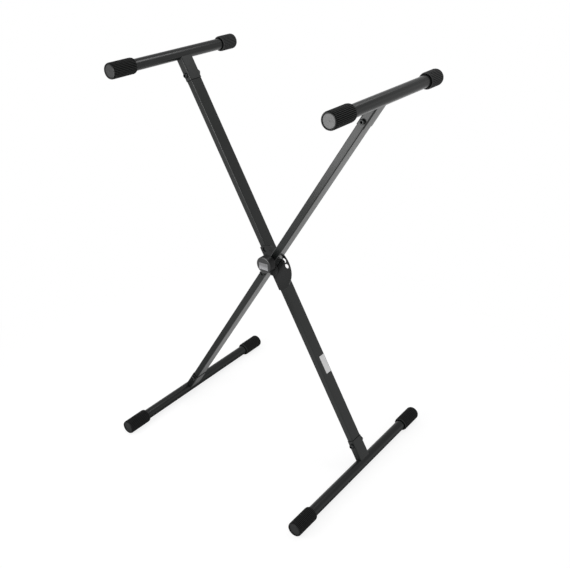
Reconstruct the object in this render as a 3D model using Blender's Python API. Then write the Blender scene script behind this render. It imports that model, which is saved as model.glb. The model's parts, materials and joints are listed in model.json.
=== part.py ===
"""X-type keyboard stand with one pair of crossed legs and a spring-loaded pin lock.

Two legs of rectangular steel tube cross at a pivot bolt. Each leg carries a round bar
at both ends, the upper ones to rest a keyboard on and the lower ones as feet, and every
bar ends in ribbed rubber caps. A sector plate on the rear leg has an arc of holes, and a
sprung pin with a pull knob on the front leg drops into one of them.

Units are metres. +X runs across the spread of the legs, +Y along the bars to the
rear, +Z up. The floor is Z = 0 and the pivot stands over the origin.
"""

import math

import bmesh
import bpy
from mathutils import Vector

# Clearance between pieces that touch
GAP = 0.0003

# Legs
LEG_REACH = 0.485
SPREAD_DEG = 62.4
LEG_WIDTH = 0.015
LEG_DEPTH = 0.0296
LEG_WALL = 0.0012
LEG_CORNER = 0.0018
LEG_END_SPACE = 0.0025

# Bars at the ends of the legs
BAR_RADIUS = 0.0117
BAR_WALL = 0.0012
TOP_SPAN = 0.353
FOOT_SPAN = 0.480
BAR_SHIFT = 0.0042

# Rubber caps on the bars
CAP_RADIUS = 0.016
CAP_LENGTH = 0.060
CAP_LENGTH_TOP_REAR = 0.043
CAP_END_WALL = 0.005
CAP_RIBS = 32
CAP_GROOVE = 0.0009
CAP_FLAT = 0.0005
CAP_DISC_RADIUS = 0.0118
CAP_DISC_DEPTH = 0.0012
CAP_DRAFT = 0.0003
CAP_RIM = 0.0022
CAP_ROUND = 0.0016
CAP_MOUTH_DEPTH = 0.0016

# Sleeves that carry the bars on the leg ends
SOCKET_LENGTH = 0.058
SOCKET_WALL = 0.0009
SOCKET_BOLT_BACK = 0.046

# Bolt and nut of each sleeve
BOLT_RADIUS = 0.003
BOLT_HEAD_RADIUS = 0.0053
BOLT_HEAD_HEIGHT = 0.0046
BOLT_KEY = 0.0025
BOLT_KEY_DEPTH = 0.0025
BOLT_HEAD_EDGE = 0.0012
BOLT_TIP = 0.0006
NUT_FLATS = 0.010
NUT_HEIGHT = 0.0042
NUT_FLANGE_RADIUS = 0.0066
NUT_FLANGE_HEIGHT = 0.0011

# Pivot through both legs
PIVOT_RADIUS = 0.004
PIVOT_HEAD_RADIUS = 0.007
PIVOT_HEAD_HEIGHT = 0.0036
PIVOT_KEY = 0.0029
PIVOT_TIP = 0.0008
PIVOT_NUT_FLATS = 0.013
PIVOT_NUT_HEIGHT = 0.0042
PIVOT_NUT_COLLAR = 0.0009
WASHER_RADIUS = 0.010
WASHER_THICK = 0.0014
SPACER_RADIUS = 0.0175
SPACER_THICK = 0.001

# Sector plate of the lock
PLATE_THICK = 0.002
PLATE_RIM = 0.00345
PLATE_EDGE = 0.0076
PLATE_CORNER = 0.002
LOCK_ARC_RADIUS = 0.0433
LOCK_HOLE_PLAY = 0.00045
LOCK_STEP_DEG = 17.5
LOCK_STEPS_NARROWER = 2
LOCK_STEPS_WIDER = 2
FOLDED_DEG = 4.0

# Spring-loaded pin
PIN_NOSE_RADIUS = 0.0048
PIN_NOSE_LENGTH = 0.0075
PIN_CHAMFER = 0.0009
PIN_ROD_RADIUS = 0.003
PIN_GRIP = 0.002
PIN_RUN = 0.00035
SPRING_WIRE = 0.0009
SPRING_TURNS = 6
SPRING_SIDE = 0.0004

# Guide bush in the front leg
BUSH_COLLAR_RADIUS = 0.0118
BUSH_COLLAR_HEIGHT = 0.0078
BUSH_COLLAR_EDGE = 0.0012
BUSH_NECK_RADIUS = 0.007
BUSH_SPIGOT_RADIUS = 0.0052
BUSH_SPIGOT_PROUD = 0.001

# Pull knob
KNOB_RADIUS = 0.0182
KNOB_HEIGHT = 0.017
KNOB_STAND_OFF = 0.0085
KNOB_WALL = 0.0032
KNOB_TOP = 0.0036
KNOB_EDGE = 0.001
KNOB_DISH = 0.0005
KNOB_RIM = 0.0007

# Facets round each kind of round piece
BAR_SIDES = 32
CAP_SIDES = 32
BOLT_SIDES = 18
NUT_SIDES = 12
HOLE_SIDES = 20
BOLT_HOLE_SIDES = 12
WASHER_SIDES = 28
KNOB_SIDES = 32
PIN_SIDES = 20
BUSH_SIDES = 24
SPRING_SIDES = 10
ARC_STEPS = 40
CORNER_STEPS = 3

# Places that follow from the sizes above
LEAN = math.radians(SPREAD_DEG) / 2
PIVOT_HEIGHT = LEG_REACH * math.cos(LEAN) + CAP_RADIUS - CAP_FLAT
MIDDLE_SPACE = PLATE_THICK + SPACER_THICK + 3 * GAP
LOCK_HOLE_RADIUS = PIN_NOSE_RADIUS + LOCK_HOLE_PLAY
PLATE_RADIUS = LOCK_ARC_RADIUS + LOCK_HOLE_RADIUS + PLATE_RIM
LEG_Y = (LEG_DEPTH + MIDDLE_SPACE) / 2
LEG_OUTER_Y = LEG_Y + LEG_DEPTH / 2
PLATE_FRONT_Y = MIDDLE_SPACE / 2 - GAP - PLATE_THICK
SLEEVE_SPARE = SOCKET_WALL + GAP
PIN_TIP_Y = PLATE_FRONT_Y - GAP
LOCK_IN = PLATE_THICK + GAP
KNOB_BACK_Y = -LEG_OUTER_Y - KNOB_STAND_OFF
KNOB_FACE_Y = KNOB_BACK_Y - KNOB_HEIGHT

# Size at which the empties are drawn
EMPTY_MARK = 0.03

ALONG_Y = (math.radians(-90), 0, 0)
UPSIDE_DOWN = (0, math.radians(180), 0)

BLACK_PAINT = ((0.035, 0.036, 0.036, 1), 0.42, 0.0)
BLACK_STEEL = ((0.03, 0.03, 0.031, 1), 0.35, 0.6)
RUBBER = ((0.016, 0.016, 0.017, 1), 0.7, 0.0)
KNOB_PLASTIC = ((0.04, 0.041, 0.041, 1), 0.45, 0.0)
BRIGHT_STEEL = ((0.5, 0.5, 0.51, 1), 0.3, 1.0)


def clear_scene():
    for obj in list(bpy.data.objects):
        bpy.data.objects.remove(obj, do_unlink=True)


def make_empty(name, location, rotation=(0, 0, 0), parent=None):
    empty = bpy.data.objects.new(name, None)
    empty.empty_display_size = EMPTY_MARK
    empty.location = location
    empty.rotation_euler = rotation
    empty.parent = parent
    bpy.context.scene.collection.objects.link(empty)
    return empty


def make_material(name, look):
    colour, roughness, metallic = look
    material = bpy.data.materials.new(name)
    material.use_nodes = True
    shader = material.node_tree.nodes["Principled BSDF"]
    shader.inputs["Base Color"].default_value = colour
    shader.inputs["Roughness"].default_value = roughness
    shader.inputs["Metallic"].default_value = metallic
    return material


def make_object(name, mesh, look, location, rotation=(0, 0, 0), parent=None):
    """Adds one sub-part; copies share the mesh and keep a material of their own."""
    obj = bpy.data.objects.new(name, mesh)
    obj.location = location
    obj.rotation_euler = rotation
    obj.parent = parent
    bpy.context.scene.collection.objects.link(obj)
    if not mesh.materials:
        mesh.materials.append(None)
    obj.material_slots[0].link = "OBJECT"
    obj.material_slots[0].material = make_material(name, look)
    return obj


def finish_mesh(name, bm, smooth_deg=32):
    bmesh.ops.recalc_face_normals(bm, faces=bm.faces)
    if bm.calc_volume(signed=True) < 0:
        bmesh.ops.reverse_faces(bm, faces=bm.faces)
    mesh = bpy.data.meshes.new(name)
    bm.to_mesh(mesh)
    bm.free()
    mesh.shade_smooth()
    mesh.set_sharp_from_angle(angle=math.radians(smooth_deg))
    return mesh


def skin(bm, first, second):
    """Faces between two rings of vertices; one ring may have a multiple of the other's count."""
    if len(first) < len(second):
        skin(bm, second, first)
        return
    share = len(first) // len(second)
    for i, corner in enumerate(second):
        following = second[(i + 1) % len(second)]
        for k in range(share):
            a = first[i * share + k]
            b = first[(i * share + k + 1) % len(first)]
            if share == 1:
                bm.faces.new((a, b, following, corner))
            elif k <= share // 2:
                bm.faces.new((a, b, corner))
            else:
                bm.faces.new((a, b, following))
            if share > 1 and k == share // 2:
                bm.faces.new((b, following, corner))


def loft(bm, loops, closed):
    """Skins the loops in order; a closed skin returns to the first loop, an open one is capped."""
    rings = [[bm.verts.new(point) for point in points] for points in loops]
    for first, second in zip(rings, rings[1:]):
        skin(bm, first, second)
    if closed:
        skin(bm, rings[-1], rings[0])
    else:
        bm.faces.new(rings[0])
        bm.faces.new(rings[-1])


def circle(radius, z, sides):
    """Points of a circle about Z, the first one on +X."""
    points = []
    for i in range(sides):
        angle = 2 * math.pi * i / sides
        points.append((radius * math.cos(angle), radius * math.sin(angle), z))
    return points


def hexagon(half_flats, z, sides):
    """Points round a regular hexagon; sides is a multiple of six."""
    points = []
    for i in range(sides):
        angle = 2 * math.pi * i / sides
        off_flat = (angle % math.radians(60)) - math.radians(30)
        radius = half_flats / math.cos(off_flat)
        points.append((radius * math.cos(angle), radius * math.sin(angle), z))
    return points


def rounded_rectangle(width, depth, corner, z):
    """Points round a rectangle with rounded corners, width along X and depth along Y."""
    points = []
    for quarter in range(4):
        cx = (width / 2 - corner) * (1 if quarter in (0, 3) else -1)
        cy = (depth / 2 - corner) * (1 if quarter in (0, 1) else -1)
        for i in range(CORNER_STEPS + 1):
            angle = math.radians(90) * (quarter + i / CORNER_STEPS)
            points.append((cx + corner * math.cos(angle), cy + corner * math.sin(angle), z))
    return points


def turned(name, profile, sides, closed=False, smooth_deg=32):
    """Lathes a (radius, z) profile about Z; a profile that ends on the axis is capped flat."""
    bm = bmesh.new()
    loft(bm, [circle(radius, z, sides) for radius, z in profile], closed)
    return finish_mesh(name, bm, smooth_deg)


def cutter_object(name, bm, parent, location=(0, 0, 0), rotation=(0, 0, 0)):
    """A hidden shape that cuts other pieces."""
    obj = bpy.data.objects.new(name, finish_mesh(name, bm))
    obj.location = location
    obj.rotation_euler = rotation
    obj.parent = parent
    obj.hide_render = True
    obj.display_type = "WIRE"
    bpy.context.scene.collection.objects.link(obj)
    return obj


def cut(obj, cutter):
    modifier = obj.modifiers.new("cut " + cutter.name, "BOOLEAN")
    modifier.operation = "DIFFERENCE"
    modifier.solver = "EXACT"
    modifier.object = cutter


def add_drill(bm, radius, x, y_from, y_to, z, sides=HOLE_SIDES):
    """Adds a cylinder along Y to a cutter."""
    near = [(x + px, y_from, z + py) for px, py, _ in circle(radius, 0, sides)]
    far = [(px, y_to, pz) for px, _, pz in near]
    loft(bm, [near, far], closed=False)


def lock_angles():
    """Angles from the rear leg's upper end to each hole of the lock plate."""
    steps = range(-LOCK_STEPS_NARROWER, LOCK_STEPS_WIDER + 1)
    angles = [math.radians(SPREAD_DEG + LOCK_STEP_DEG * step) for step in steps]
    return [math.radians(FOLDED_DEG)] + angles


def leg_mesh():
    """Rectangular tube with rounded edges, open at both ends, centred on its own middle."""
    half = LEG_REACH - BAR_RADIUS - LEG_END_SPACE
    inner = (LEG_WIDTH - 2 * LEG_WALL, LEG_DEPTH - 2 * LEG_WALL, LEG_CORNER - LEG_WALL)
    bm = bmesh.new()
    loft(bm, [
        rounded_rectangle(LEG_WIDTH, LEG_DEPTH, LEG_CORNER, -half),
        rounded_rectangle(LEG_WIDTH, LEG_DEPTH, LEG_CORNER, half),
        rounded_rectangle(*inner, half),
        rounded_rectangle(*inner, -half),
    ], closed=True)
    return finish_mesh("leg", bm)


def make_leg(name, frame, side):
    leg = make_object(name, leg_mesh(), BLACK_PAINT, (0, side * LEG_Y, 0), parent=frame)
    reach = LEG_DEPTH
    hollow = LEG_DEPTH / 2 - 2 * LEG_WALL
    bm = bmesh.new()
    add_drill(bm, PIVOT_RADIUS + GAP, 0, -reach, reach, 0)
    for end in (1, -1):
        bolt_z = end * (LEG_REACH - SOCKET_BOLT_BACK)
        add_drill(bm, BOLT_RADIUS + GAP, 0, -reach, reach, bolt_z, BOLT_HOLE_SIDES)
    if side < 0:
        add_drill(bm, BUSH_SPIGOT_RADIUS + GAP, 0, -reach, -hollow, LOCK_ARC_RADIUS)
        add_drill(bm, PIN_NOSE_RADIUS + PIN_RUN, 0, hollow, reach, LOCK_ARC_RADIUS)
    cut(leg, cutter_object(name + "_drills", bm, frame, (0, side * LEG_Y, 0)))
    return leg


def socket_mesh():
    """Sleeve over a leg's end; the bar's axis is the origin and the leg comes from -Z."""
    fit = (LEG_WIDTH + 2 * GAP, LEG_DEPTH + 2 * GAP, LEG_CORNER + GAP)
    outer = (fit[0] + 2 * SOCKET_WALL, fit[1] + 2 * SOCKET_WALL, fit[2] + SOCKET_WALL)
    bm = bmesh.new()
    loft(bm, [
        rounded_rectangle(*outer, -SOCKET_LENGTH),
        rounded_rectangle(*outer, 0),
        rounded_rectangle(*fit, 0),
        rounded_rectangle(*fit, -SOCKET_LENGTH),
    ], closed=True)
    return finish_mesh("socket", bm)


def make_socket(place, frame, side, end):
    """Sleeve with its cross bolt and nut at one end of a leg."""
    turn = (0, 0, 0) if end > 0 else UPSIDE_DOWN
    spot = (0, side * LEG_Y, end * LEG_REACH)
    socket = make_object("socket_" + place, socket_mesh(), BLACK_PAINT, spot, turn, frame)
    reach = LEG_DEPTH
    bm = bmesh.new()
    add_drill(bm, BAR_RADIUS + GAP, 0, -reach, reach, 0, BAR_SIDES)
    add_drill(bm, BOLT_RADIUS + GAP, 0, -reach, reach, -SOCKET_BOLT_BACK, BOLT_HOLE_SIDES)
    cut(socket, cutter_object(place + "_socket_cuts", bm, frame, spot, turn))

    half = LEG_DEPTH / 2 + SLEEVE_SPARE
    bolt_z = end * (LEG_REACH - SOCKET_BOLT_BACK)
    head_y = side * LEG_Y - half - GAP
    nut_y = side * LEG_Y + half + GAP
    shank = nut_y - head_y + NUT_HEIGHT + BOLT_TIP
    bolt = bolt_mesh("socket_bolt", BOLT_RADIUS, shank, BOLT_HEAD_RADIUS, BOLT_HEAD_HEIGHT, BOLT_KEY)
    make_object("bolt_" + place, bolt, BLACK_STEEL, (0, head_y, bolt_z), ALONG_Y, frame)
    make_object("nut_" + place, socket_nut_mesh(), BLACK_STEEL, (0, nut_y, bolt_z), ALONG_Y, frame)


def bolt_mesh(name, radius, shank, head_radius, head_height, key):
    """Socket-head bolt with its head below z = 0 and its shank towards +Z."""
    bm = bmesh.new()
    loft(bm, [
        circle(radius - BOLT_TIP, shank, BOLT_SIDES),
        circle(radius, shank - BOLT_TIP, BOLT_SIDES),
        circle(radius, 0, BOLT_SIDES),
        circle(head_radius, 0, BOLT_SIDES),
        circle(head_radius, BOLT_HEAD_EDGE - head_height, BOLT_SIDES),
        circle(head_radius - BOLT_HEAD_EDGE, -head_height, BOLT_SIDES),
        hexagon(key, -head_height, BOLT_SIDES),
        hexagon(key, BOLT_KEY_DEPTH - head_height, BOLT_SIDES),
    ], closed=False)
    return finish_mesh(name, bm)


def socket_nut_mesh():
    """Flanged hexagon nut standing on z = 0."""
    bore = BOLT_RADIUS + GAP
    bm = bmesh.new()
    loft(bm, [
        circle(bore, 0, NUT_SIDES),
        circle(NUT_FLANGE_RADIUS, 0, NUT_SIDES),
        circle(NUT_FLANGE_RADIUS - NUT_FLANGE_HEIGHT / 2, NUT_FLANGE_HEIGHT, NUT_SIDES),
        hexagon(NUT_FLATS / 2, NUT_FLANGE_HEIGHT, NUT_SIDES),
        hexagon(NUT_FLATS / 2, NUT_HEIGHT, NUT_SIDES),
        circle(bore, NUT_HEIGHT, NUT_SIDES),
    ], closed=True)
    return finish_mesh("socket_nut", bm)


def bar_mesh(span):
    """Open round tube along Z, centred; span is measured over its two caps."""
    half = span / 2 - CAP_END_WALL - GAP
    inner = BAR_RADIUS - BAR_WALL
    profile = [(BAR_RADIUS, -half), (BAR_RADIUS, half), (inner, half), (inner, -half)]
    return turned("bar", profile, BAR_SIDES, closed=True)


def ribbed_circle(z):
    """Crests and grooves in turn, with a crest on +X and on +Y."""
    points = []
    for i in range(2 * CAP_RIBS):
        angle = math.pi * i / CAP_RIBS
        radius = CAP_RADIUS - CAP_GROOVE * (i % 2)
        points.append((radius * math.cos(angle), radius * math.sin(angle), z))
    return points


def cap_mesh(length):
    """Ribbed cap: closed end at z = 0, mouth at z = length, bearing flat on +Y."""
    disc = CAP_DISC_RADIUS
    ribs_from = CAP_RIM + CAP_ROUND
    ribs_to = length - CAP_RIM - CAP_ROUND / 2
    bore = BAR_RADIUS + GAP
    valley = CAP_RADIUS - CAP_GROOVE
    bm = bmesh.new()
    loft(bm, [
        circle(disc, CAP_DISC_DEPTH, CAP_SIDES),
        circle(disc + CAP_DRAFT, 0, CAP_SIDES),
        circle(valley - CAP_ROUND / 2, CAP_ROUND / 4, CAP_SIDES),
        circle(valley, CAP_ROUND, CAP_SIDES),
        ribbed_circle(ribs_from),
        ribbed_circle(ribs_to),
        circle(valley - CAP_DRAFT, length - CAP_ROUND / 2, CAP_SIDES),
        circle(valley - CAP_ROUND / 2, length, CAP_SIDES),
        circle(bore, length - CAP_MOUTH_DEPTH, CAP_SIDES),
        circle(bore, CAP_END_WALL, CAP_SIDES),
    ], closed=False)
    geometry = bm.verts[:] + bm.edges[:] + bm.faces[:]
    level = Vector((0, CAP_RADIUS - CAP_FLAT, 0))
    bmesh.ops.bisect_plane(bm, geom=geometry, plane_co=level, plane_no=(0, 1, 0), clear_outer=True)
    rims = [edge for edge in bm.edges if edge.is_boundary]
    bmesh.ops.holes_fill(bm, edges=rims)
    return finish_mesh("cap", bm)


def make_bar(place, frame, side, end):
    """Bar with its two caps, upright at the standing angle; the upper rear cap is shorter."""
    lean = -LEAN if side > 0 else LEAN
    span = TOP_SPAN if end > 0 else FOOT_SPAN
    middle = -side * BAR_SHIFT
    seat = make_empty("seat_" + place, (0, middle, end * LEG_REACH), (0, -lean, 0), frame)
    make_object("bar_" + place, bar_mesh(span), BLACK_PAINT, (0, 0, 0), ALONG_Y, seat)
    flip = math.radians(180) if end > 0 else 0
    near = (ALONG_Y[0], flip, 0)
    far = (ALONG_Y[0], flip, math.radians(180))
    front_cap = cap_mesh(CAP_LENGTH)
    rear_cap = cap_mesh(CAP_LENGTH_TOP_REAR if end > 0 else CAP_LENGTH)
    make_object("cap_" + place + "_front", front_cap, RUBBER, (0, -span / 2, 0), near, seat)
    make_object("cap_" + place + "_rear", rear_cap, RUBBER, (0, span / 2, 0), far, seat)


def make_plate(frame):
    """Sector plate on the rear leg with its arc of lock holes and the pivot hole."""
    start = math.asin(-PLATE_EDGE / PLATE_RADIUS)
    sweep = math.pi - 2 * start
    rim = []
    for i in range(ARC_STEPS + 1):
        angle = start + sweep * i / ARC_STEPS
        rim.append((PLATE_RADIUS * math.sin(angle), 0, PLATE_RADIUS * math.cos(angle)))
    bm = bmesh.new()
    face = bm.faces.new([bm.verts.new(point) for point in rim])
    block = bmesh.ops.extrude_face_region(bm, geom=[face])
    top = [item for item in block["geom"] if isinstance(item, bmesh.types.BMVert)]
    bmesh.ops.translate(bm, verts=top, vec=(0, PLATE_THICK, 0))
    corners = []
    for edge in bm.edges:
        a, b = (vert.co for vert in edge.verts)
        if abs(a.y - b.y) > PLATE_THICK / 2 and a.x < GAP - PLATE_EDGE:
            corners.append(edge)
    bmesh.ops.bevel(bm, geom=corners, offset=PLATE_CORNER, affect="EDGES", segments=3,
                    profile=0.5, material=-1)
    mesh = finish_mesh("plate", bm)
    plate = make_object("lock_plate", mesh, BLACK_PAINT, (0, PLATE_FRONT_Y, 0), parent=frame)
    bm = bmesh.new()
    reach = 2 * PLATE_THICK
    add_drill(bm, PIVOT_RADIUS + GAP, 0, -reach, reach, 0)
    for angle in lock_angles():
        x = LOCK_ARC_RADIUS * math.sin(angle)
        z = LOCK_ARC_RADIUS * math.cos(angle)
        add_drill(bm, LOCK_HOLE_RADIUS, x, -reach, reach, z)
    cut(plate, cutter_object("plate_drills", bm, frame, (0, PLATE_FRONT_Y, 0)))


def ring_mesh(name, outer, inner, thick):
    """Flat washer standing on z = 0."""
    profile = [(inner, 0), (outer, 0), (outer, thick), (inner, thick)]
    return turned(name, profile, WASHER_SIDES, closed=True)


def pivot_nut_mesh():
    """Locking nut: hexagon with a round collar, standing on z = 0."""
    bore = PIVOT_RADIUS + GAP
    half = PIVOT_NUT_FLATS / 2
    shoulder = PIVOT_NUT_HEIGHT - PIVOT_NUT_COLLAR
    bm = bmesh.new()
    loft(bm, [
        circle(bore, 0, NUT_SIDES),
        hexagon(half, 0, NUT_SIDES),
        hexagon(half, shoulder, NUT_SIDES),
        circle(half - PIVOT_NUT_COLLAR / 2, shoulder, NUT_SIDES),
        circle(half - PIVOT_NUT_COLLAR, PIVOT_NUT_HEIGHT, NUT_SIDES),
        circle(bore, PIVOT_NUT_HEIGHT, NUT_SIDES),
    ], closed=True)
    return finish_mesh("pivot_nut", bm)


def make_pivot(frame):
    """Bolt, washer, nut and the spacer between the legs."""
    bore = PIVOT_RADIUS + GAP
    head_y = -LEG_OUTER_Y - GAP
    washer_y = LEG_OUTER_Y + GAP
    nut_y = washer_y + WASHER_THICK + GAP
    shank = nut_y + PIVOT_NUT_HEIGHT + PIVOT_TIP - head_y
    bolt = bolt_mesh("pivot_bolt", PIVOT_RADIUS, shank, PIVOT_HEAD_RADIUS, PIVOT_HEAD_HEIGHT,
                     PIVOT_KEY)
    spacer = ring_mesh("pivot_spacer", SPACER_RADIUS, bore, SPACER_THICK)
    spacer_y = PLATE_FRONT_Y - GAP - SPACER_THICK
    washer = ring_mesh("pivot_washer", WASHER_RADIUS, bore, WASHER_THICK)
    make_object("pivot_bolt", bolt, BLACK_STEEL, (0, head_y, 0), ALONG_Y, frame)
    make_object("pivot_spacer", spacer, KNOB_PLASTIC, (0, spacer_y, 0), ALONG_Y, frame)
    make_object("pivot_washer", washer, BLACK_STEEL, (0, washer_y, 0), ALONG_Y, frame)
    make_object("pivot_nut", pivot_nut_mesh(), BLACK_STEEL, (0, nut_y, 0), ALONG_Y, frame)


def make_bush(lock):
    """Guide bush through the front wall of the front leg; the knob seats on its neck."""
    bore = PIN_ROD_RADIUS + GAP
    spigot = GAP + LEG_WALL + BUSH_SPIGOT_PROUD
    base_y = -LEG_OUTER_Y - GAP
    neck_end = KNOB_FACE_Y + KNOB_TOP + LOCK_IN + GAP - base_y
    profile = [
        (bore, spigot),
        (BUSH_SPIGOT_RADIUS, spigot),
        (BUSH_SPIGOT_RADIUS, 0),
        (BUSH_COLLAR_RADIUS, 0),
        (BUSH_COLLAR_RADIUS, BUSH_COLLAR_EDGE - BUSH_COLLAR_HEIGHT),
        (BUSH_COLLAR_RADIUS - BUSH_COLLAR_EDGE, -BUSH_COLLAR_HEIGHT),
        (BUSH_NECK_RADIUS, -BUSH_COLLAR_HEIGHT),
        (BUSH_NECK_RADIUS, neck_end),
        (bore, neck_end),
    ]
    mesh = turned("guide_bush", profile, BUSH_SIDES, closed=True)
    make_object("guide_bush", mesh, BLACK_STEEL, (0, base_y, 0), ALONG_Y, lock)


def make_pin(lock):
    """Stepped pin: a stout nose in the leg's rear wall and a rod up into the knob."""
    length = PIN_TIP_Y - (KNOB_FACE_Y + KNOB_TOP - PIN_GRIP + GAP)
    bm = bmesh.new()
    loft(bm, [
        circle(PIN_NOSE_RADIUS - PIN_CHAMFER, 0, PIN_SIDES),
        circle(PIN_NOSE_RADIUS, -PIN_CHAMFER, PIN_SIDES),
        circle(PIN_NOSE_RADIUS, -PIN_NOSE_LENGTH, PIN_SIDES),
        circle(PIN_ROD_RADIUS, -PIN_NOSE_LENGTH, PIN_SIDES),
        circle(PIN_ROD_RADIUS, -length, PIN_SIDES),
    ], closed=False)
    mesh = finish_mesh("lock_pin", bm)
    make_object("lock_pin", mesh, BRIGHT_STEEL, (0, PIN_TIP_Y, 0), ALONG_Y, lock)


def make_spring(lock):
    """Compression spring round the rod, between the bush and the pin's shoulder."""
    from_y = -LEG_OUTER_Y + LEG_WALL + BUSH_SPIGOT_PROUD + GAP + SPRING_WIRE / 2
    to_y = PIN_TIP_Y - PIN_NOSE_LENGTH - GAP - SPRING_WIRE / 2
    radius = PIN_ROD_RADIUS + SPRING_SIDE + SPRING_WIRE / 2
    curve = bpy.data.curves.new("lock_spring", "CURVE")
    curve.dimensions = "3D"
    curve.bevel_depth = SPRING_WIRE / 2
    curve.bevel_resolution = 1
    curve.use_fill_caps = True
    steps = SPRING_SIDES * SPRING_TURNS
    spline = curve.splines.new("POLY")
    spline.points.add(steps)
    for i in range(steps + 1):
        angle = 2 * math.pi * i / SPRING_SIDES
        y = from_y + (to_y - from_y) * i / steps
        spline.points[i].co = (radius * math.cos(angle), y, radius * math.sin(angle), 1)
    spring = bpy.data.objects.new("lock_spring", curve)
    spring.parent = lock
    spring.data.materials.append(make_material("lock_spring", BRIGHT_STEEL))
    bpy.context.scene.collection.objects.link(spring)


def make_knob(lock):
    """Hollow pull knob with a dished face; it slides over the bush's collar."""
    hollow = KNOB_RADIUS - KNOB_WALL
    hole = PIN_ROD_RADIUS + GAP
    dish = KNOB_RADIUS - KNOB_EDGE - KNOB_RIM
    bm = bmesh.new()
    loft(bm, [
        circle(dish - KNOB_DISH, KNOB_DISH, KNOB_SIDES),
        circle(dish, 0, KNOB_SIDES),
        circle(KNOB_RADIUS - KNOB_EDGE, 0, KNOB_SIDES),
        circle(KNOB_RADIUS - KNOB_EDGE / 4, KNOB_EDGE / 4, KNOB_SIDES),
        circle(KNOB_RADIUS, KNOB_EDGE, KNOB_SIDES),
        circle(KNOB_RADIUS, KNOB_HEIGHT, KNOB_SIDES),
        circle(hollow, KNOB_HEIGHT, KNOB_SIDES),
        circle(hollow, KNOB_TOP, KNOB_SIDES),
        circle(hole, KNOB_TOP, KNOB_SIDES),
        circle(hole, KNOB_TOP - PIN_GRIP, KNOB_SIDES),
    ], closed=False)
    mesh = finish_mesh("lock_knob", bm)
    make_object("lock_knob", mesh, KNOB_PLASTIC, (0, KNOB_FACE_Y, 0), ALONG_Y, lock)


def make_half(name, side, places):
    """One leg with its sleeves, bars and caps; side is +1 for the rear leg."""
    lean = -LEAN if side > 0 else LEAN
    frame = make_empty(name + "_frame", (0, 0, PIVOT_HEIGHT), (0, lean, 0))
    make_leg(name, frame, side)
    for end, place in zip((1, -1), places):
        make_socket(place, frame, side, end)
        make_bar(place, frame, side, end)
    return frame


def main():
    clear_scene()
    rear = make_half("leg_rear", 1, ("top_left", "foot_right"))
    front = make_half("leg_front", -1, ("top_right", "foot_left"))
    make_plate(rear)
    make_pivot(rear)
    lock = make_empty("lock_frame", (0, 0, LOCK_ARC_RADIUS), parent=front)
    make_bush(lock)
    make_pin(lock)
    make_spring(lock)
    make_knob(lock)


main()
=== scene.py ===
import json
import math

import bmesh
import bpy
from mathutils import Matrix, Vector


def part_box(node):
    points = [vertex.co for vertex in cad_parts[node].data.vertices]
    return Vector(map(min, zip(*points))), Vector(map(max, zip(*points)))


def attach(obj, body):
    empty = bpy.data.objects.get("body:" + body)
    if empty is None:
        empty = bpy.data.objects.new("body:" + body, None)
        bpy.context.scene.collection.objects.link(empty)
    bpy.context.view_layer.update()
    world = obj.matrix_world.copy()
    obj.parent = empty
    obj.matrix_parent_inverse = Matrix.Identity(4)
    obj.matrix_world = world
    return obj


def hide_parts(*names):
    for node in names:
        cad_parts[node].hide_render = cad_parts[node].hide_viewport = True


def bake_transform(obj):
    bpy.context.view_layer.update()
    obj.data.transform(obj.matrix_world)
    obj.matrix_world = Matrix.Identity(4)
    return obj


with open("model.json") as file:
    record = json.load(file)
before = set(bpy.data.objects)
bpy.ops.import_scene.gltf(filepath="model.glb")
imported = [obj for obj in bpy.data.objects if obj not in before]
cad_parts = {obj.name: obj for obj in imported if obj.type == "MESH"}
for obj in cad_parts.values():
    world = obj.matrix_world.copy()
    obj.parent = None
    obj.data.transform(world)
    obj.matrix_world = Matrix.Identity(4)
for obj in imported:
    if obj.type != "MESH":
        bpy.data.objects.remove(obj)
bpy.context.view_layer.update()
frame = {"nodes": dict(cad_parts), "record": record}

nodes = frame["nodes"]
bodyOf = {}
for bodyName, members in frame["record"]["behaviour"]["bodies"].items():
    for member in members:
        bodyOf[member] = bodyName
slotOf = {row["node"]: row["material_slot"] for row in frame["record"]["subparts"]}


def boxMiddle(name):
    low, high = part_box(name)
    return (low + high) / 2


legLow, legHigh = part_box("leg_rear")
pivot = Vector((0, 0, (legLow.z + legHigh.z) / 2))   # the legs cross in the middle of their height


class Wire:
    # one output socket, with Python's operators adding Math nodes
    def __init__(self, kit, socket):
        self.kit = kit
        self.socket = socket

    def calculate(self, operation, first, second=None):
        values = {0: first}
        if second is not None:
            values[1] = second
        return self.kit.add("ShaderNodeMath", {"operation": operation}, values)

    def __add__(self, other):
        return self.calculate("ADD", self, other)

    def __radd__(self, other):
        return self.calculate("ADD", other, self)

    def __sub__(self, other):
        return self.calculate("SUBTRACT", self, other)

    def __rsub__(self, other):
        return self.calculate("SUBTRACT", other, self)

    def __mul__(self, other):
        return self.calculate("MULTIPLY", self, other)

    def __rmul__(self, other):
        return self.calculate("MULTIPLY", other, self)

    def __truediv__(self, other):
        return self.calculate("DIVIDE", self, other)

    def __rtruediv__(self, other):
        return self.calculate("DIVIDE", other, self)

    def __abs__(self):
        return self.calculate("ABSOLUTE", self)


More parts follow.
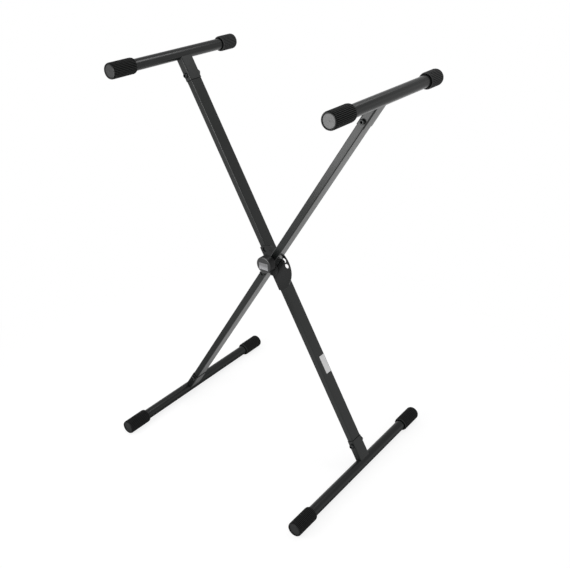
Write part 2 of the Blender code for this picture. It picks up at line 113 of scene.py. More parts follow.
class Finish:
    # a material, or the world, with short ways to add its nodes
    def __init__(self, owner):
        owner.use_nodes = True
        self.owner = owner
        self.tree = owner.node_tree

    def addNode(self, kind, settings=None, values=None):
        node = self.tree.nodes.new(kind)
        for key, setting in (settings or {}).items():
            setattr(node, key, setting)
        for key, value in (values or {}).items():
            self.feed(node, key, value)
        return node

    def add(self, kind, settings=None, values=None, output=0):
        return Wire(self, self.addNode(kind, settings, values).outputs[output])

    def feed(self, node, key, value):
        if isinstance(value, Wire):
            self.tree.links.new(value.socket, node.inputs[key])
        else:
            node.inputs[key].default_value = value

    def ease(self, wire, start, end, toLow, toHigh):
        # a smooth step from one value to another
        return self.add("ShaderNodeMapRange", {"interpolation_type": "SMOOTHSTEP"}, {
            "Value": wire, "From Min": start, "From Max": end, "To Min": toLow, "To Max": toHigh})

    def blendColours(self, factor, first, second):
        return self.add("ShaderNodeMix", {"data_type": "RGBA"}, {0: factor, 6: first, 7: second}, output=2)

    def axis(self, place, letter):
        return self.add("ShaderNodeSeparateXYZ", {}, {"Vector": place}, output=letter)

    def reach(self, place, direction):
        # how far a place lies along a direction
        return self.add("ShaderNodeVectorMath", {"operation": "DOT_PRODUCT"},
                        {0: place, 1: direction}, output="Value")


def newFinish(name, **constants):
    finish = Finish(bpy.data.materials.new(name))
    finish.shader = finish.tree.nodes["Principled BSDF"]
    for key, value in constants.items():
        finish.shader.inputs[key.replace("_", " ")].default_value = value
    finish.place = finish.add("ShaderNodeTexCoord", output="Object")
    return finish


def grain(finish, size, detail):
    # noise whose cells are about size metres across
    return finish.add("ShaderNodeTexNoise", {"noise_dimensions": "3D"},
                      {"Vector": finish.place, "Scale": 1 / size, "Detail": detail})


def addBump(finish, height, depth):
    bump = finish.add("ShaderNodeBump", {}, {"Height": height, "Distance": depth})
    finish.feed(finish.shader, "Normal", bump)


def coverWith(finish, share, colour):
    # a dull coat of one colour over the shader, as much as the share says
    matt = finish.add("ShaderNodeBsdfDiffuse", {}, {"Color": colour})
    shiny = Wire(finish, finish.shader.outputs[0])
    surface = finish.add("ShaderNodeMixShader", {}, {0: share, 1: shiny, 2: matt})
    finish.feed(finish.tree.nodes["Material Output"], "Surface", surface)


def coverShadeAndDirt(finish, colour):
    # where the mesh's "dip" attribute is high the surface is dark and dull: painted shade, with dirt in the
    # caps' grooves, and painted shade alone on the caps' rims and disc walls and on the knob's side
    coverWith(finish, finish.add("ShaderNodeAttribute", {"attribute_name": "dip"}, output="Fac"), colour)


def shaded(colour, share=1.0, addedTone=0.0):
    return tuple(channel * share + addedTone for channel in colour[:3]) + (1,)


powderCoat = {
    "gloss": 0.42,
    "colour": (0.0095, 0.0111, 0.0106, 1),
    "dusty": (0.0155, 0.0174, 0.0168, 1),
    "patchSize": 0.05,
    "speckSize": 0.002,
    "dustShare": 1.6,
    "roughness": 0.20,
    "roughnessSpread": 0.09,
    "peelSize": 0.0011,
    "peelDepth": 0.00003,
    "paintedShadeFade": 0.007,
    "paintedShadeShare": 0.6,
    "mouthShadowColour": (0.002, 0.002, 0.002, 1),
    "mouthShadowWidth": (0.0005, 0.0013),
}
barCoat = {"gloss": 0.38, "colour": (0.0075, 0.0088, 0.0084, 1), "dusty": (0.0125, 0.0140, 0.0136, 1)}
lighterCoat = {"colour": (0.0175, 0.0191, 0.0186, 1), "dusty": (0.0245, 0.0264, 0.0258, 1)}
plateCoat = {"colour": (0.0045, 0.0053, 0.0053, 1), "dusty": (0.009, 0.0101, 0.0101, 1), "roughness": 0.14}


def makePowderCoat(name, paintedShadeBelow=0.0, mouths=(), **changes):
    # painted shade takes the shine off below the given height, where the foot bars' undersides face the
    # shadowed floor; a painted shadow runs along the leg at each sleeve's mouth
    book = {**powderCoat, **changes}
    finish = newFinish(name, Specular_IOR_Level=book["gloss"])
    broad = grain(finish, book["patchSize"], 4)
    fine = grain(finish, book["speckSize"], 2)
    tone = finish.blendColours(broad * fine * book["dustShare"], book["colour"], book["dusty"])
    finish.feed(finish.shader, "Base Color", tone)
    finish.feed(finish.shader, "Roughness", broad * book["roughnessSpread"] + book["roughness"])
    addBump(finish, grain(finish, book["peelSize"], 1), book["peelDepth"])
    # painted shade: below this height a dull dark coat hides the shine, standing for the shadow under the foot
    # bars
    if paintedShadeBelow:
        height = finish.axis(finish.place, "Z")
        addedTone = finish.ease(height, paintedShadeBelow, paintedShadeBelow + book["paintedShadeFade"], book["paintedShadeShare"], 0.0)
        coverWith(finish, addedTone, book["colour"])
    # painted shadow: a near-black band on the leg just outside each sleeve's mouth
    if mouths:
        full, none = book["mouthShadowWidth"]
        mouthShadow = sum(finish.ease(finish.reach(finish.place, inward), level + full, level + none, 1.0, 0.0)
                   for inward, level in mouths)
        coverWith(finish, mouthShadow, book["mouthShadowColour"])
    return finish.owner


rubberLook = {
    "colour": (0.0066, 0.0076, 0.0075, 1),
    "worn": (0.011, 0.0120, 0.0119, 1),
    "wornShare": 0.8,
    # the groove colour is that of the painted shade, with dirt, in the grooves, and of the painted shade on the
    # rims and disc walls
    "groove": (0.0012, 0.0013, 0.0013, 1),
    # the next two: how much lighter the far top caps' rubber is, and the share of that in its grooves
    "addedTone": 0.026,
    "grooveToneShare": 0.6,
    "gloss": 0.42,
    "roughness": 0.58,
    "roughnessSpread": 0.1,
    "patchSize": 0.012,
    "grainSize": 0.0005,
    "grainDepth": 0.00002,
}
capFaceLook = {"colour": (0.010, 0.0107, 0.011, 1), "gloss": 0.85, "roughness": 0.30}


def makeRubber(name, addedTone=0.0, **changes):
    book = {**rubberLook, **changes}
    finish = newFinish(name, Specular_IOR_Level=book["gloss"])
    patches = grain(finish, book["patchSize"], 4)
    tone = finish.blendColours(patches * book["wornShare"], shaded(book["colour"], addedTone=addedTone),
                               shaded(book["worn"], addedTone=addedTone))
    finish.feed(finish.shader, "Base Color", tone)
    finish.feed(finish.shader, "Roughness", patches * book["roughnessSpread"] + book["roughness"])
    addBump(finish, grain(finish, book["grainSize"], 2), book["grainDepth"])
    # painted shade, with dirt, in the grooves between the ribs; painted shade alone on the caps' rims and disc
    # walls
    coverShadeAndDirt(finish, shaded(book["groove"], addedTone=addedTone * book["grooveToneShare"]))    # between the ribs
    return finish.owner


steelLook = {
    "black": (0.02, 0.02, 0.021, 1),
    "bolt": (0.05, 0.052, 0.052, 1),
    # near-black colour of the painted shade in key holes and sleeve mouths
    "recess": (0.004, 0.004, 0.004, 1),
    "zinc": (0.42, 0.42, 0.43, 1),
    "patchSize": 0.008,
    "patchShare": 0.5,
    "patchShade": 0.6,
    "scratchSize": 0.0006,
    "scratchDepth": 0.00001,
    "scratchSpread": 0.2,
}


def makeSteel(name, colour, roughness, metallic):
    book = steelLook
    finish = newFinish(name, Metallic=metallic)
    scratches = grain(finish, book["scratchSize"], 3)
    patches = grain(finish, book["patchSize"], 3)
    tone = finish.blendColours(patches * book["patchShare"], colour, shaded(colour, book["patchShade"]))
    finish.feed(finish.shader, "Base Color", tone)
    finish.feed(finish.shader, "Roughness", scratches * book["scratchSpread"] + roughness)
    addBump(finish, scratches, book["scratchDepth"])
    return finish.owner


plasticLook = {
    "colour": (0.018, 0.0187, 0.0187, 1),
    "worn": (0.03, 0.0304, 0.0306, 1),
    "wornShare": 0.4,
    # the side colour is that of the painted shade on the knob's side wall
    "side": (0.008, 0.0083, 0.0083, 1),
    "gloss": 0.6,
    "roughness": 0.30,
    "roughnessSpread": 0.12,
    "patchSize": 0.01,
    "grainSize": 0.0004,
    "grainDepth": 0.00002,
}


def makePlastic(name):
    book = plasticLook
    finish = newFinish(name, Specular_IOR_Level=book["gloss"])
    patches = grain(finish, book["patchSize"], 3)
    tone = finish.blendColours(patches * book["wornShare"], book["colour"], book["worn"])
    finish.feed(finish.shader, "Base Color", tone)
    finish.feed(finish.shader, "Roughness", patches * book["roughnessSpread"] + book["roughness"])
    addBump(finish, grain(finish, book["grainSize"], 2), book["grainDepth"])
    # painted shade on the knob's side wall, where "dip" is set
    coverShadeAndDirt(finish, book["side"])
    return finish.owner


sheetLook = {
    "silver": (0.36, 0.36, 0.37, 1),
    "silverTop": (0.20, 0.20, 0.205, 1),
    "silverFade": (0.011, 0.019),    # heights above the knob's lowest point
    "paper": (0.80, 0.80, 0.80, 1),
    "patchSize": 0.006,
    "patchShare": 0.35,
    "patchShade": 0.85,
    "roughnessSpread": 0.1,
    "waveSize": 0.003,
    "waveDepth": 0.00002,
}


def makeSheet(name, colour, roughness, top=None, fade=(0, 1)):
    # foil or paper, which may go over into a second colour between two heights
    book = sheetLook
    finish = newFinish(name)
    patches = grain(finish, book["patchSize"], 3)
    tone = finish.blendColours(patches * book["patchShare"], colour, shaded(colour, book["patchShade"]))
    if top:
        tone = finish.blendColours(finish.ease(finish.axis(finish.place, "Z"), *fade, 0.0, 1.0), tone, top)
    finish.feed(finish.shader, "Base Color", tone)
    finish.feed(finish.shader, "Roughness", patches * book["roughnessSpread"] + roughness)
    addBump(finish, grain(finish, book["waveSize"], 2), book["waveDepth"])
    return finish.owner


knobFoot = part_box("lock_knob")[0].z
looks = {
    "paint": makePowderCoat("powder coat"),
    "lighterSleevePaint": makePowderCoat("upper sleeve powder coat", **lighterCoat),
    "barPaint": makePowderCoat("bar powder coat", **barCoat),
    "footPaint": makePowderCoat("dusty powder coat", paintedShadeBelow=0.015, **barCoat),
    "platePaint": makePowderCoat("plate powder coat", **plateCoat),
    "rubber": makeRubber("ribbed rubber"),
    "lighterRubber": makeRubber("dusty rubber", addedTone=rubberLook["addedTone"]),
    "capFace": makeRubber("smooth rubber", **capFaceLook),
    "blackSteel": makeSteel("black steel", steelLook["black"], roughness=0.32, metallic=0.5),
    "bolt": makeSteel("oiled bolt steel", steelLook["bolt"], roughness=0.24, metallic=0.8),
    "recess": makeSteel("bolt recess", steelLook["recess"], roughness=0.5, metallic=1.0),
    "zinc": makeSteel("zinc plated steel", steelLook["zinc"], roughness=0.25, metallic=1.0),
    "plastic": makePlastic("knob plastic"),
    "silver": makeSheet("silver foil", sheetLook["silver"], roughness=0.32, top=sheetLook["silverTop"],
                        fade=[knobFoot + height for height in sheetLook["silverFade"]]),
    "paper": makeSheet("label paper", sheetLook["paper"], roughness=0.5),
}
print("materials made:", len(looks))


joinWithin = 1e-6    # points of a shape that are closer than this become one


def settle(bm, name, materials, replaced=None, carrier=None, sharpDegrees=35, heldBy=None):
    # turns a bmesh into a finished piece that rides on its body; with heldBy given, the piece stays fixed where
    # it is instead, and the body that heldBy names is not used
    bmesh.ops.remove_doubles(bm, verts=bm.verts, dist=joinWithin)
    bmesh.ops.recalc_face_normals(bm, faces=bm.faces)
    mesh = bpy.data.meshes.new(name)
    bm.to_mesh(mesh)
    bm.free()
    mesh.shade_smooth()
    mesh.set_sharp_from_angle(angle=math.radians(sharpDegrees))
    for material in materials:
        mesh.materials.append(material)
    piece = bpy.data.objects.new(name, mesh)
    bpy.context.scene.collection.objects.link(piece)
    if replaced:
        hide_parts(replaced)
        carrier = replaced
    body, slot = bodyOf[carrier], slotOf[carrier]
    if heldBy:
        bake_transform(piece)
    else:
        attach(piece, body)
    return piece


def turn(bm, outline, steps):
    # spins an outline of (radius, height) points about Z
    verts = [bm.verts.new((radius, 0, height)) for radius, height in outline]
    edges = [bm.edges.new(pair) for pair in zip(verts, verts[1:])]
    bmesh.ops.spin(bm, geom=verts + edges, cent=(0, 0, 0), axis=(0, 0, 1), angle=math.radians(360),
                   steps=steps, use_merge=True)


def turnAbout(bm, degrees, axis):
    bmesh.ops.rotate(bm, verts=bm.verts, cent=(0, 0, 0),
                     matrix=Matrix.Rotation(math.radians(degrees), 3, axis))


def layAlongY(bm, start, fromRear=False):
    # a shape spun about Z is laid along Y, with its foot at the start
    turnAbout(bm, -90, "X")
    if fromRear:
        turnAbout(bm, 180, "Z")
    bmesh.ops.translate(bm, verts=bm.verts, vec=start)


frameBook = {
    "weld": 2e-6,           # the nodes' loose triangles are joined within this distance
    "flatDegrees": 0.4,
    "mouth": 0.0008,        # chamfer inside a sleeve's mouth
    "facing": 0.99,         # a face looks along a direction above this cosine, and lies along it below the next
    "aside": 0.01,
    "recessReach": 0.0026,
    "recessSkin": 0.0002,
}
mouthsOf = {"leg_rear": [], "leg_front": []}    # where each leg's sleeves end


def easeMouth(bm, name):
    # a chamfer inside a sleeve's mouth, where the leg goes in; its faces take the near-black second material,
    # painted shade in the gap
    legName = "leg_rear" if bodyOf[name] == bodyOf["leg_rear"] else "leg_front"
    bar = boxMiddle(name.replace("socket_", "bar_"))
    leg = boxMiddle(legName)
    bar.y = leg.y
    inward = (leg - bar).normalized()
    mouthsOf[legName].append((inward, max(vert.co.dot(inward) for vert in bm.verts)))
    rim = []
    for edge in bm.edges:
        if len(edge.link_faces) != 2:
            continue
        ends = [face for face in edge.link_faces if face.normal.dot(inward) > frameBook["facing"]]
        walls = [face for face in edge.link_faces if abs(face.normal.dot(inward)) < frameBook["aside"]]
        if len(ends) != 1 or len(walls) != 1:
            continue
        spot = (edge.verts[0].co + edge.verts[1].co) / 2 - bar
        spot -= inward * spot.dot(inward)
        if walls[0].normal.dot(spot) < 0:
            rim.append(edge)
    eased = bmesh.ops.bevel(bm, geom=rim, offset=frameBook["mouth"], affect="EDGES", segments=1,
                            profile=0.5, material=-1)
    # painted shade: the chamfer's faces take the near-black second material
    for face in eased["faces"]:
        face.material_index = 1


def paintRecessShade(bm, name):
    # the bolt head's key hole takes the near-black second material: painted shade in the hole
    low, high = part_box(name)
    middle = boxMiddle(name)
    for face in bm.faces:
        spot = face.calc_center_median()
        inside = min(spot.y - low.y, high.y - spot.y) > frameBook["recessSkin"]
        if inside and math.hypot(spot.x - middle.x, spot.z - middle.z) < frameBook["recessReach"]:
            face.material_index = 1


def dress(name, material, edge=0.0, sharpDegrees=40, detail=None, heldBy=None):
    # a merged, softly bevelled and smoothly shaded copy of a CAD node
    bm = bmesh.new()
    bm.from_mesh(nodes[name].data)
    bmesh.ops.remove_doubles(bm, verts=bm.verts, dist=frameBook["weld"])
    bmesh.ops.dissolve_limit(bm, angle_limit=math.radians(frameBook["flatDegrees"]),
                             verts=bm.verts, edges=bm.edges)
    materials = [material]
    if detail:
        detail(bm, name)
        # the second material is near black: painted shade in recesses
        materials.append(looks["recess"])
    piece = settle(bm, name + "_fine", materials, replaced=name, sharpDegrees=sharpDegrees, heldBy=heldBy)
    if edge:
        bevel = piece.modifiers.new("soft edges", "BEVEL")
        bevel.width = edge
        bevel.segments = 2
        bevel.limit_method = "ANGLE"
        bevel.angle_limit = math.radians(sharpDegrees)
    weighted = piece.modifiers.new("even shading", "WEIGHTED_NORMAL")
    weighted.keep_sharp = True


for name in nodes:
    if name.startswith("socket_"):
        # the upper left sleeve takes a slightly lighter coat
        paint = looks["lighterSleevePaint" if name == "socket_top_left" else "paint"]
        dress(name, paint, edge=0.0002, detail=easeMouth)
    elif name.startswith("bolt_"):
        dress(name, looks["bolt"], edge=0.0003, detail=paintRecessShade)
    elif name.startswith("nut_") or name in ("pivot_nut", "pivot_washer", "guide_bush"):
        dress(name, looks["blackSteel"], edge=0.00015)
# each leg's coat carries a painted shadow where its sleeves end
for name, mouths in mouthsOf.items():
    dress(name, makePowderCoat(name.replace("_", " ") + " powder coat", mouths=mouths), edge=0.00015)
dress("lock_plate", looks["platePaint"], edge=0.0003)
dress("pivot_bolt", looks["paint"], edge=0.0003)
dress("pivot_spacer", looks["plastic"], edge=0.0001)
dress("lock_pin", looks["zinc"], edge=0.00015)
dress("lock_spring", looks["zinc"], sharpDegrees=70, heldBy=bodyOf["guide_bush"])   # squeezed against the bush
print("frame pieces dressed")


barBook = {"columns": 72, "lip": 0.0003, "wall": 0.0012}


def makeBar(name):
    book = barBook
    low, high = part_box(name)
    radius = (high.x - low.x) / 2
    length = high.y - low.y
    inner, lip = radius - book["wall"], book["lip"]
    bm = bmesh.new()
    turn(bm, [(inner, 0), (radius - lip, 0), (radius, lip), (radius, length - lip),
              (radius - lip, length), (inner, length), (inner, 0)], book["columns"])
    layAlongY(bm, ((low.x + high.x) / 2, low.y, (low.z + high.z) / 2))
    # the foot bars take the coat with painted shade on their undersides
    paint = looks["footPaint" if name.startswith("bar_foot") else "barPaint"]
    settle(bm, name + "_fine", [paint], replaced=name)


capBook = {
    "ribs": 32,
    "columnsPerRib": 8,
    "groove": 0.0010,
    "grooveShape": 1.5,
    "ribSkin": 0.0014,               # only points this close to the side are pressed in
    "ribEnds": (0.0012, 0.0022),     # how far the ribs stay from the closed and the open end
    "discRadius": 0.0126,
    # the rim's and the disc wall's shares below are painted shade
    "rimPaintedShade": 0.45,
    "rimStart": 0.0002,
    "rimPart": (0.00015, 0.0010),    # how far the smooth rim stays from the disc and from the side
    "wallPaintedShade": 0.6,
    "wallPart": 0.0005,              # the wall round the disc reaches this far to either side
    "wallEnd": 0.0001,
    # the profile: radius and height, then out from the disc, in from the side, and in from it at the open end
    "nub": [(0, 0.0011), (0.00128, 0.0011), (0.0016, 0.0015), (0.0020, 0.0015)],
    "wall": [(-0.0007, 0.0015), (-0.0004, 0.0015), (0, 0.0011), (0.0001, 0.0003), (0.0003, 0)],
    "shoulder": [(0.0020, 0.0001), (0.0012, 0.0007), (0.0005, 0.0018), (0.0001, 0.0032), (0, 0.0046)],
    "lip": [(0, 0.0040), (0.0003, 0.0024), (0.0007, 0.0012), (0.0013, 0.0003), (0.0018, 0), (0.0022, 0.0003)],
    "bore": 0.012,
    "boreStart": 0.002,
    "endWall": 0.005,
}


def capOutline(radius, length):
    # from the middle of the closed end's disc over the ribbed side into the bore
    book = capBook
    outline = list(book["nub"])
    outline += [(book["discRadius"] + offset, height) for offset, height in book["wall"]]
    outline += [(radius - inset, height) for inset, height in book["shoulder"]]
    outline += [(radius - inset, length - height) for inset, height in book["lip"]]
    outline += [(book["bore"], length - book["boreStart"]), (book["bore"], book["endWall"])]
    return outline + [(0, book["endWall"])]


def shapeRibs(bm, radius, length):
    # presses grooves into the side, and marks in "dip" where the painted shade goes: with dirt in the grooves,
    # alone on the wall round the disc and on the rim
    book = capBook
    disc = book["discRadius"]
    ribStart, ribEnd = book["ribEnds"][0], length - book["ribEnds"][1]
    dips = bm.verts.layers.float.new("dip")
    for vert in bm.verts:
        reach = math.hypot(vert.co.x, vert.co.y)
        if abs(reach - disc) < book["wallPart"] and book["wallEnd"] < vert.co.z < book["endWall"] / 2:
            vert[dips] = book["wallPaintedShade"]
        elif reach > disc + book["rimStart"] and vert.co.z < ribStart:
            vert[dips] = book["rimPaintedShade"]
        if reach < radius - book["ribSkin"] or not ribStart < vert.co.z < ribEnd:
            continue
        wave = 0.5 - 0.5 * math.cos(math.atan2(vert.co.y, vert.co.x) * book["ribs"])
        vert[dips] = wave
        share = 1 - book["groove"] * wave ** book["grooveShape"] / reach
        vert.co.x *= share
        vert.co.y *= share


def smoothEnd(bm, radius):
    # the disc and the narrow rim round it take the second material
    book = capBook
    disc = book["discRadius"]
    rimStart, rimEnd = disc + book["rimPart"][0], radius - book["rimPart"][1]
    for face in bm.faces:
        middle = face.calc_center_median()
        reach = math.hypot(middle.x, middle.y)
        onDisc = reach < disc - book["wallPart"] and middle.z < book["endWall"] / 2
        onRim = rimStart < reach < rimEnd and middle.z < book["ribEnds"][0]
        if onDisc or onRim:
            face.material_index = 1


def makeCap(name):
    book = capBook
    low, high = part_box(name)
    radius = (high.x - low.x) / 2
    length = high.y - low.y
    foot = name.startswith("cap_foot")
    rear = name.endswith("_rear")
    bm = bmesh.new()
    turn(bm, capOutline(radius, length), book["ribs"] * book["columnsPerRib"])
    bmesh.ops.remove_doubles(bm, verts=bm.verts, dist=joinWithin)
    shapeRibs(bm, radius, length)
    smoothEnd(bm, radius)
    centre = high.z - radius if foot else low.z + radius
    layAlongY(bm, ((low.x + high.x) / 2, high.y if rear else low.y, centre), fromRear=rear)
    for vert in bm.verts:    # pressed flat where it bears
        vert.co.z = max(vert.co.z, low.z) if foot else min(vert.co.z, high.z)
    # the far top caps take a lighter rubber
    rubber = looks["lighterRubber" if rear and not foot else "rubber"]
    settle(bm, name + "_fine", [rubber, looks["capFace"]], replaced=name, sharpDegrees=50)


for name in nodes:
    if name.startswith("bar_"):
        makeBar(name)
print("bars made")
for name in nodes:
    if name.startswith("cap_"):
        makeCap(name)
print("caps made")


knobBook = {
    "columns": 96,
    "wall": 0.0032,
    "top": 0.0036,           # how thick the knob is behind its face
    "dish": 0.0005,
    "rim": 0.0003,
    "slope": (0.0019, 0.0010),
    "round": 0.0004,
    "endEdge": 0.0004,
    # the face's curves: out from the dish's edge with shares of its depth, then shares of slope and round
    "dishCurve": [(-0.0006, 1), (-0.0002, 0.4), (0.0003, 0)],
    "faceDrop": 0.00002,
    "slopeCurve": [(0.1, 0.07), (0.9, 0.93)],
    "roundCurve": [(0.8, 0.1), (0.3, 0.5), (0, 1.3)],
    "rodHole": 0.0033,
    "rodGrip": 0.002,
    "sidePaintedShade": 0.6,
    "badgeSize": (0.0228, 0.0148),
    "badgeThick": 0.00015,
    "badgeCorner": 0.0008,
    "badgeShift": (0.0001, -0.0024),
    "badgeTurn": -4.0,
}
lift = 0.00001    # keeps a thin sheet's back just off what carries it


def makeKnob():
    book = knobBook
    low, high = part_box("lock_knob")
    radius = (high.x - low.x) / 2
    height = high.y - low.y
    soft, dish = book["round"], book["dish"]
    slopeWidth, slopeDepth = book["slope"]
    flatEnd = radius - soft - slopeWidth
    lip = flatEnd - book["rim"]
    inner, gripEnd = radius - book["wall"], book["top"] - book["rodGrip"]
    outline = [(0, dish)]
    outline += [(lip + offset, dish * deep) for offset, deep in book["dishCurve"]]
    outline += [(flatEnd, book["faceDrop"])]
    outline += [(flatEnd + slopeWidth * along, slopeDepth * deep) for along, deep in book["slopeCurve"]]
    outline += [(radius - soft * inset, slopeDepth + soft * deep) for inset, deep in book["roundCurve"]]
    outline += [(radius, height - book["endEdge"]), (radius - book["endEdge"], height)]
    outline += [(inner, height), (inner, book["top"])]
    outline += [(book["rodHole"], book["top"]), (book["rodHole"], gripEnd), (0, gripEnd)]
    bm = bmesh.new()
    turn(bm, outline, book["columns"])
    # painted shade marked on the side wall behind the knob's face
    dips = bm.verts.layers.float.new("dip")
    for vert in bm.verts:
        if vert.co.z > slopeDepth + soft:
            vert[dips] = book["sidePaintedShade"]
    face = Vector(((low.x + high.x) / 2, low.y, (low.z + high.z) / 2))
    layAlongY(bm, face)
    settle(bm, "lock_knob_fine", [looks["plastic"]], replaced="lock_knob")
    return face


def roundedSheet(width, height, thick, corner):
    # a thin plate with round corners in the XZ plane, its back on y = 0
    bm = bmesh.new()
    bmesh.ops.create_cube(bm, size=1)
    bmesh.ops.scale(bm, vec=(width, thick, height), verts=bm.verts)
    bmesh.ops.translate(bm, vec=(0, -thick / 2, 0), verts=bm.verts)
    uprights = [e for e in bm.edges if abs(e.verts[0].co.y - e.verts[1].co.y) > thick / 2]
    bmesh.ops.bevel(bm, geom=uprights, offset=corner, affect="EDGES", segments=4, profile=0.5, material=-1)
    return bm


def makeBadge(face):
    # the blank silver sheet in the knob's dish
    book = knobBook
    across, up = book["badgeShift"]
    bm = roundedSheet(*book["badgeSize"], book["badgeThick"], book["badgeCorner"])
    turnAbout(bm, book["badgeTurn"], "Y")
    bmesh.ops.translate(bm, verts=bm.verts, vec=face + Vector((across, book["dish"] - lift, up)))
    settle(bm, "knob_badge", [looks["silver"]], carrier="lock_knob")


makeBadge(makeKnob())
print("knob made")


labelBook = {
    "along": -0.243,       # from the pivot, down the rear leg
    "length": 0.042,
    "depth": 0.0162,
    "middleY": 0.0215,
    "thick": 0.00012,
    "corner": 0.0006,
    "legHalf": 0.0075,
    "legLean": 31.2,
}


def makeLabel():
    # the blank label low on the rear leg's outer side
    book = labelBook
    lean = math.radians(book["legLean"])
    up = Vector((-math.sin(lean), 0, math.cos(lean)))
    out = Vector((math.cos(lean), 0, math.sin(lean)))
    bm = roundedSheet(book["depth"], book["length"], book["thick"], book["corner"])
    facing = Matrix((Vector((0, 1, 0)), -out, up)).transposed()
    bmesh.ops.transform(bm, matrix=facing.to_4x4(), verts=bm.verts)
    spot = pivot + up * book["along"] + out * (book["legHalf"] + lift)
    bmesh.ops.translate(bm, verts=bm.verts, vec=spot + Vector((0, book["middleY"], 0)))
    settle(bm, "plain_label", [looks["paper"]], carrier="leg_rear")


makeLabel()
print("label made")


# behind, farther, far and rightBack are places along Y, and rightAcross along X, where a step starts and ends;
# ownLeft, ownRight and barBeside are counted from a foot bar
studio = {
    "floorSize": 60,
    "floorColour": (0.9, 0.9, 0.9, 1),
    "shadowShare": 0.30,       # how much of the floor's own shading the camera sees near the stand
    "floorLit": 0.62,          # that shading where nothing shadows it, made up to white
    "shadowFade": (0.3, 0.9),
    "floorGlossFront": 0.75,   # how bright the floor looks in the paint: in front, behind, farther and far
    "floorGlossBehind": 0.77,
    "behind": (-0.1, 0.2),
    "floorGlossFarther": 1.05,
    "farther": (0.6, 0.95),
    "floorGlossFar": 0.94,
    "far": (1.05, 1.5),
    "rightShade": 0.32,        # what is missing behind on the right
    "rightBack": (0.3, 0.6),
    "rightAcross": (0.2, 0.6),
    "ownShade": 0.5,           # what is left of it in the stand's shade, left of the foot bar
    "ownLeft": (-0.2, -0.1),
    "ownRight": (-0.01, 0.04),
    "barShade": (0.35, 0.65),  # what is missing beside and below the left and the right foot bar
    "barSides": (-0.1, 0.1),
    "barBeside": (0.01, 0.075),
    "barEnds": (0.26, 0.36),
    "skyLight": 0.66,
    "skyGloss": (0.87, 0.50),  # how bright the sky looks in the paint, low and high
    "skyRise": (0.0, 0.5),
    "horizonShade": 0.80,
    "horizonRise": (0.0, 0.15),
    "fill": 1.4,               # how much brighter it is towards the fill side
    "fillSide": (0.74, -0.66, 0.10),
    "fillReach": (0.75, 0.95),
    "softboxes": [             # name, place, target, size, radiance, seen in the gloss only
        ("front softbox", (-0.34, -0.90, 0.55), (0.15, 0, 0.6), (0.52, 0.52), 3.9, False),
        ("high softbox", (0.08, -1.55, 1.05), (-0.1, 0, 0.65), (0.5, 0.4), 10.0, True),
        ("side softbox", (0.245, 0.63, 1.39), (-0.24, -0.02, 0.82), (0.2, 0.2), 0.9, True),
        ("rear softbox", (0.167, 0.60, 1.69), (-0.25, -0.05, 0.845), (0.36, 0.36), 4.9, False),
    ],
}


def floorGloss(finish, place):
    # how bright the floor is in reflections
    book = studio
    across, back = finish.axis(place, "X"), finish.axis(place, "Y")
    barLine = boxMiddle("bar_foot_left").x
    front, behind = book["floorGlossFront"], book["floorGlossBehind"]
    farther, far = book["floorGlossFarther"], book["floorGlossFar"]
    gloss = finish.ease(back, *book["behind"], front, behind)
    gloss *= finish.ease(back, *book["farther"], 1.0, farther / behind)
    gloss *= finish.ease(back, *book["far"], 1.0, far / farther)
    rightShade = finish.ease(across, *book["rightAcross"], 0.0, book["rightShade"])
    gloss *= 1 - finish.ease(back, *book["rightBack"], 0.0, 1.0) * rightShade
    fromBar = across - barLine
    shade = finish.ease(fromBar, *book["ownLeft"], 0.0, 1 - book["ownShade"])
    gloss *= 1 - shade * finish.ease(fromBar, *book["ownRight"], 1.0, 0.0)
    beside = abs(abs(across) - abs(barLine))
    under = finish.ease(beside, *book["barBeside"], 1.0, 0.0)
    under *= finish.ease(across, *book["barSides"], *book["barShade"])
    return gloss * (1 - under * finish.ease(abs(back), *book["barEnds"], 1.0, 0.0))


def makeFloor():
    book = studio
    bm = bmesh.new()
    bmesh.ops.create_grid(bm, x_segments=1, y_segments=1, size=book["floorSize"] / 2)
    mesh = bpy.data.meshes.new("floor")
    bm.to_mesh(mesh)
    bm.free()
    floor = bpy.data.objects.new("floor", mesh)
    bpy.context.scene.collection.objects.link(floor)
    finish = Finish(bpy.data.materials.new("pale floor"))
    finish.tree.nodes.clear()
    place = finish.add("ShaderNodeTexCoord", output="Object")
    away = finish.add("ShaderNodeVectorMath", {"operation": "LENGTH"}, {0: place}, output="Value")
    seen = finish.add("ShaderNodeLightPath", output="Is Camera Ray")
    glossy = finish.add("ShaderNodeLightPath", output="Is Glossy Ray")
    near = finish.ease(away, *book["shadowFade"], book["shadowShare"], 0.0)
    matt = finish.add("ShaderNodeBsdfDiffuse", {}, {"Color": book["floorColour"]})
    white = (1 - near * book["floorLit"]) / (1 - near)
    glow = finish.add("ShaderNodeEmission", {}, {
        "Color": (1, 1, 1, 1), "Strength": seen * white + (1 - seen) * floorGloss(finish, place)})
    share = seen * (1 - near) + (1 - seen) * glossy
    surface = finish.add("ShaderNodeMixShader", {}, {0: share, 1: matt, 2: glow})
    finish.addNode("ShaderNodeOutputMaterial", {}, {"Surface": surface})
    mesh.materials.append(finish.owner)


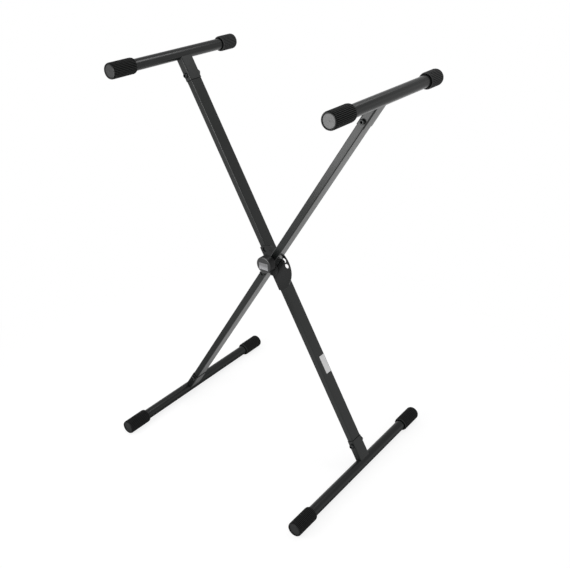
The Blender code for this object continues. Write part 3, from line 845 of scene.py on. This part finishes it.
def makeWorld():
    book = studio
    world = bpy.data.worlds.new("studio")
    bpy.context.scene.world = world
    finish = Finish(world)
    finish.tree.nodes.clear()
    seen = finish.add("ShaderNodeLightPath", output="Is Camera Ray")
    glossy = finish.add("ShaderNodeLightPath", output="Is Glossy Ray")
    direction = finish.add("ShaderNodeTexCoord", output="Generated")
    height = finish.axis(direction, "Z")
    gloss = finish.ease(height, *book["skyRise"], *book["skyGloss"])
    gloss *= finish.ease(height, *book["horizonRise"], book["horizonShade"], 1.0)
    gloss *= finish.ease(finish.reach(direction, book["fillSide"]), *book["fillReach"], 1.0, book["fill"])
    unseen = 1 - seen
    strength = seen + unseen * glossy * gloss + unseen * (1 - glossy) * book["skyLight"]
    light = finish.add("ShaderNodeBackground", {}, {"Color": (1, 1, 1, 1), "Strength": strength})
    finish.addNode("ShaderNodeOutputWorld", {}, {"Surface": light})


def addSoftbox(name, spot, target, size, radiance, shineOnly):
    # an area lamp whose surface shows the given brightness
    lamp = bpy.data.lights.new(name, "AREA")
    lamp.shape = "RECTANGLE"
    lamp.size, lamp.size_y = size
    lamp.energy = radiance * math.pi * size[0] * size[1]
    lampObject = bpy.data.objects.new(name, lamp)
    lampObject.location = spot
    lampObject.visible_diffuse = not shineOnly
    lampObject.rotation_euler = (Vector(target) - Vector(spot)).to_track_quat("-Z", "Y").to_euler()
    bpy.context.scene.collection.objects.link(lampObject)


cameraBook = {
    "azimuth": 37.66,
    "elevation": 29.29,
    "roll": 0.43,
    "fromPivot": (0.9178, -1.1434, 0.7833),
    "lens": 48.84,
    "sensor": 36.0,
    "clip": (0.05, 200),
}


def makeCamera():
    book = cameraBook
    around, above, tilt = (math.radians(book[key]) for key in ("azimuth", "elevation", "roll"))
    back = Vector((math.sin(around) * math.cos(above), -math.cos(around) * math.cos(above), math.sin(above)))
    level = Vector((math.cos(around), math.sin(around), 0))
    upright = back.cross(level)
    right = math.cos(tilt) * level + math.sin(tilt) * upright
    up = math.cos(tilt) * upright - math.sin(tilt) * level
    place = Matrix((right, up, back)).transposed().to_4x4()
    place.translation = pivot + Vector(book["fromPivot"])
    camera = bpy.data.cameras.new("camera")
    camera.lens = book["lens"]
    camera.sensor_width = book["sensor"]
    camera.sensor_fit = "HORIZONTAL"
    camera.clip_start, camera.clip_end = book["clip"]
    cameraObject = bpy.data.objects.new("camera", camera)
    cameraObject.matrix_world = place
    bpy.context.scene.collection.objects.link(cameraObject)
    bpy.context.scene.camera = cameraObject


makeFloor()
makeWorld()
for softbox in studio["softboxes"]:
    addSoftbox(*softbox)
makeCamera()
bpy.context.scene.view_settings.view_transform = "Standard"
print("studio ready")
